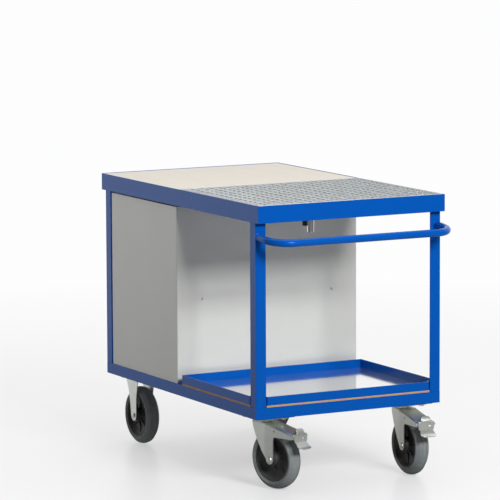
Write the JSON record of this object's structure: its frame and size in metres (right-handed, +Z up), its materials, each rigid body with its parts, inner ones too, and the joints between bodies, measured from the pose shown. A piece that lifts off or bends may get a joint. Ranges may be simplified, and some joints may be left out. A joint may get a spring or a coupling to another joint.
{
  "type": "mobile workbench with drawers",
  "caption": "Mobile workbench on casters: half wood, half grating top over a drip tray, drawer cabinet, open bay with rim, and a push handle.",
  "frame": {"origin": "middle of the whole bench's footprint on the floor, the push handle included", "axes": "+X along the bench towards the push handle, +Y towards the drawer side, +Z up"},
  "size_m": [1.2525, 0.7, 0.943],
  "materials": {
    "blue_paint": "smooth gloss powder coat",
    "grey_paint": "fine satin powder coat",
    "galvanised": "zinc-plated, satin",
    "bright_steel": "bright rolled sheet",
    "worktop_wood": "pale matt lacquered board",
    "board_wood": "raw board edge",
    "black_knob": "matt moulded plastic",
    "black_plastic": "matt moulded polypropylene",
    "rubber_tyre": "dark grey solid rubber"
  },
  "bodies": {
    "root": {"top_frame": "blue_paint", "divider_rail": "blue_paint", "wood_panel": "worktop_wood", "drip_tray": "bright_steel", "drain_valve": "bright_steel", "leg_cabinet_back": "blue_paint", "leg_cabinet_front": "blue_paint", "leg_handle_back": "blue_paint", "leg_handle_front": "blue_paint", "base_frame": "blue_paint", "deck_board": "board_wood", "bay_rim": "blue_paint", "bay_floor_sheet": "bright_steel", "push_handle": "blue_paint", "cabinet_wrap": "grey_paint", "cabinet_top": "grey_paint", "cabinet_floor": "grey_paint", "cabinet_screws": "galvanised", "runner_rails": "galvanised", "caster_bolts": "galvanised", "fixed_fork_back": "galvanised", "fixed_fork_front": "galvanised", "fixed_axles": "galvanised", "swivel_plate_back": "galvanised", "swivel_plate_front": "galvanised"},
    "grating": {"grating": "galvanised"},
    "drain_knob": {"drain_knob": "black_knob"},
    "drawer_a": {"drawer_a_box": "galvanised", "drawer_a_front": "grey_paint", "drawer_a_runners": "galvanised", "lock_housing": "bright_steel"},
    "drawer_b": {"drawer_b_box": "galvanised", "drawer_b_front": "grey_paint", "drawer_b_runners": "galvanised"},
    "drawer_c": {"drawer_c_box": "galvanised", "drawer_c_front": "grey_paint", "drawer_c_runners": "galvanised"},
    "drawer_d": {"drawer_d_box": "galvanised", "drawer_d_front": "grey_paint", "drawer_d_runners": "galvanised"},
    "lock_barrel": {"lock_barrel": "bright_steel"},
    "fixed_wheel_back": {"fixed_rim_back": "black_plastic", "fixed_tyre_back": "rubber_tyre"},
    "swivel_fork_back": {"swivel_fork_back": "galvanised", "swivel_axle_back": "galvanised"},
    "swivel_wheel_back": {"swivel_rim_back": "black_plastic", "swivel_tyre_back": "rubber_tyre"},
    "brake_pedal_back": {"brake_pedal_back": "galvanised"},
    "fixed_wheel_front": {"fixed_rim_front": "black_plastic", "fixed_tyre_front": "rubber_tyre"},
    "swivel_fork_front": {"swivel_fork_front": "galvanised", "swivel_axle_front": "galvanised"},
    "swivel_wheel_front": {"swivel_rim_front": "black_plastic", "swivel_tyre_front": "rubber_tyre"},
    "brake_pedal_front": {"brake_pedal_front": "galvanised"}
  },
  "joints": [
    {"name": "grating_lift", "type": "slide", "parent": "root", "child": "grating", "axis": [0, 0, 1], "range_m": [0, 0.06]},
    {"name": "drain_turn", "type": "hinge", "parent": "root", "child": "drain_knob", "pos_m": [0.23775, -0.02, 0.839], "axis": [0, -1, 0], "range_deg": [0, 90]},
    {"name": "drawer_a_slide", "type": "slide", "parent": "root", "child": "drawer_a", "axis": [0, 1, 0], "range_m": [0, 0.48]},
    {"name": "drawer_b_slide", "type": "slide", "parent": "root", "child": "drawer_b", "axis": [0, 1, 0], "range_m": [0, 0.48]},
    {"name": "drawer_c_slide", "type": "slide", "parent": "root", "child": "drawer_c", "axis": [0, 1, 0], "range_m": [0, 0.48]},
    {"name": "drawer_d_slide", "type": "slide", "parent": "root", "child": "drawer_d", "axis": [0, 1, 0], "range_m": [0, 0.48]},
    {"name": "lock_turn", "type": "hinge", "parent": "drawer_a", "child": "lock_barrel", "pos_m": [-0.31175, 0.349, 0.819], "axis": [0, -1, 0], "range_deg": [0, 90]},
    {"name": "fixed_wheel_back_spin", "type": "hinge", "parent": "root", "child": "fixed_wheel_back", "pos_m": [-0.50125, -0.262, 0.1], "axis": [0, 1, 0], "continuous": true},
    {"name": "swivel_back_turn", "type": "hinge", "parent": "root", "child": "swivel_fork_back", "pos_m": [0.39875, -0.262, 0.22], "axis": [0, 0, 1], "continuous": true},
    {"name": "swivel_wheel_back_spin", "type": "hinge", "parent": "swivel_fork_back", "child": "swivel_wheel_back", "pos_m": [0.45039, -0.24621, 0.1], "axis": [-0.2924, 0.9563, 0], "continuous": true},
    {"name": "brake_back_press", "type": "hinge", "parent": "swivel_fork_back", "child": "brake_pedal_back", "pos_m": [0.54985, -0.2158, 0.185], "axis": [-0.2924, 0.9563, 0], "range_deg": [0, 18]},
    {"name": "fixed_wheel_front_spin", "type": "hinge", "parent": "root", "child": "fixed_wheel_front", "pos_m": [-0.50125, 0.262, 0.1], "axis": [0, 1, 0], "continuous": true},
    {"name": "swivel_front_turn", "type": "hinge", "parent": "root", "child": "swivel_fork_front", "pos_m": [0.39875, 0.262, 0.22], "axis": [0, 0, 1], "continuous": true},
    {"name": "swivel_wheel_front_spin", "type": "hinge", "parent": "swivel_fork_front", "child": "swivel_wheel_front", "pos_m": [0.45272, 0.26011, 0.1], "axis": [0.0349, 0.9994, 0], "continuous": true},
    {"name": "brake_front_press", "type": "hinge", "parent": "swivel_fork_front", "child": "brake_pedal_front", "pos_m": [0.55665, 0.25649, 0.185], "axis": [0.0349, 0.9994, 0], "range_deg": [0, 18]}
  ]
}
